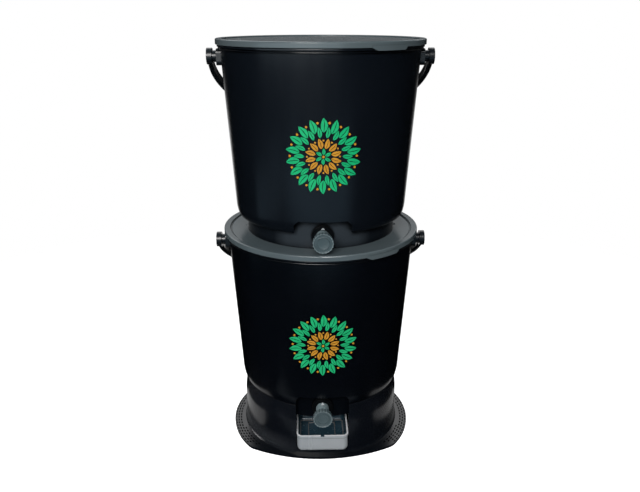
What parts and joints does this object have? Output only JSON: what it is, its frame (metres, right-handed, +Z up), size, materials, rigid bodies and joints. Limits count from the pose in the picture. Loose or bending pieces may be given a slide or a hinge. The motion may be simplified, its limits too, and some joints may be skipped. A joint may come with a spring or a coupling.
{
  "type": "bokashi bin",
  "caption": "Stacked tapered fermenting bins with airtight lids, bail handles and front taps on a flanged stand that holds a slide-out drip cup.",
  "frame": {"origin": "on the ground under the middle of the bins' common axis", "axes": "+Z up along the bins' axis, -Y towards the front with the taps and the cup, +X to the right"},
  "size_m": [0.338, 0.3101, 0.6435],
  "materials": {
    "black_plastic": "satin black moulded plastic with a faint grain",
    "slate_plastic": "matte slate grey moulded plastic",
    "tap_plastic": "satin blue-grey moulded plastic",
    "cup_plastic": "translucent light grey moulded plastic",
    "rubber": "black sealing rubber"
  },
  "bodies": {
    "stand": {"stand_wall": "black_plastic", "stand_flange": "black_plastic", "stand_floor": "black_plastic", "stand_shelf": "black_plastic"},
    "cup": {"drip_cup": "cup_plastic"},
    "lower_bin": {"lower_bin_body": "black_plastic", "lower_bin_sump": "black_plastic", "lower_bin_ears": "black_plastic", "lower_tap_body": "tap_plastic", "lower_tap_gasket": "rubber", "lower_tap_washer": "tap_plastic", "lower_tap_nut": "tap_plastic"},
    "lower_lid_part": {"lower_lid": "slate_plastic", "lower_lid_seal": "rubber"},
    "lower_handle": {"lower_bail_handle": "black_plastic"},
    "lower_strainer": {"lower_strainer_plate": "slate_plastic"},
    "lower_tap_valve": {"lower_tap_knob": "tap_plastic", "lower_valve_plug": "tap_plastic", "lower_plug_seal": "rubber"},
    "upper_bin": {"upper_bin_body": "black_plastic", "upper_bin_sump": "black_plastic", "upper_bin_ears": "black_plastic", "upper_tap_body": "tap_plastic", "upper_tap_gasket": "rubber", "upper_tap_washer": "tap_plastic", "upper_tap_nut": "tap_plastic"},
    "upper_lid_part": {"upper_lid": "slate_plastic", "upper_lid_seal": "rubber"},
    "upper_handle": {"upper_bail_handle": "black_plastic"},
    "upper_strainer": {"upper_strainer_plate": "slate_plastic"},
    "upper_tap_valve": {"upper_tap_knob": "tap_plastic", "upper_valve_plug": "tap_plastic", "upper_plug_seal": "rubber"}
  },
  "joints": [
    {"name": "cup_slide", "type": "slide", "parent": "stand", "child": "cup", "axis": [0, -1, 0], "range_m": [0, 0.12]},
    {"name": "lower_bin_lift", "type": "slide", "parent": "stand", "child": "lower_bin", "axis": [0, 0, 1], "range_m": [0, 0.15]},
    {"name": "lower_lid_lift", "type": "slide", "parent": "lower_bin", "child": "lower_lid_part", "axis": [0, 0, 1], "range_m": [0, 0.15]},
    {"name": "upper_bin_lift", "type": "slide", "parent": "lower_lid_part", "child": "upper_bin", "axis": [0, 0, 1], "range_m": [0, 0.15]},
    {"name": "upper_lid_lift", "type": "slide", "parent": "upper_bin", "child": "upper_lid_part", "axis": [0, 0, 1], "range_m": [0, 0.15]},
    {"name": "lower_strainer_lift", "type": "slide", "parent": "lower_bin", "child": "lower_strainer", "axis": [0, 0, 1], "range_m": [0, 0.2]},
    {"name": "lower_tap_turn", "type": "hinge", "parent": "lower_bin", "child": "lower_tap_valve", "pos_m": [0, -0.146, 0.0875], "axis": [0, 1, 0], "range_deg": [0, 90]},
    {"name": "lower_handle_swing", "type": "hinge", "parent": "lower_bin", "child": "lower_handle", "pos_m": [0, 0, 0.3305], "axis": [1, 0, 0], "range_deg": [0, 60]},
    {"name": "upper_strainer_lift", "type": "slide", "parent": "upper_bin", "child": "upper_strainer", "axis": [0, 0, 1], "range_m": [0, 0.2]},
    {"name": "upper_tap_turn", "type": "hinge", "parent": "upper_bin", "child": "upper_tap_valve", "pos_m": [0, -0.146, 0.3745], "axis": [0, 1, 0], "range_deg": [0, 90]},
    {"name": "upper_handle_swing", "type": "hinge", "parent": "upper_bin", "child": "upper_handle", "pos_m": [0, 0, 0.6175], "axis": [1, 0, 0], "range_deg": [0, 253]}
  ]
}
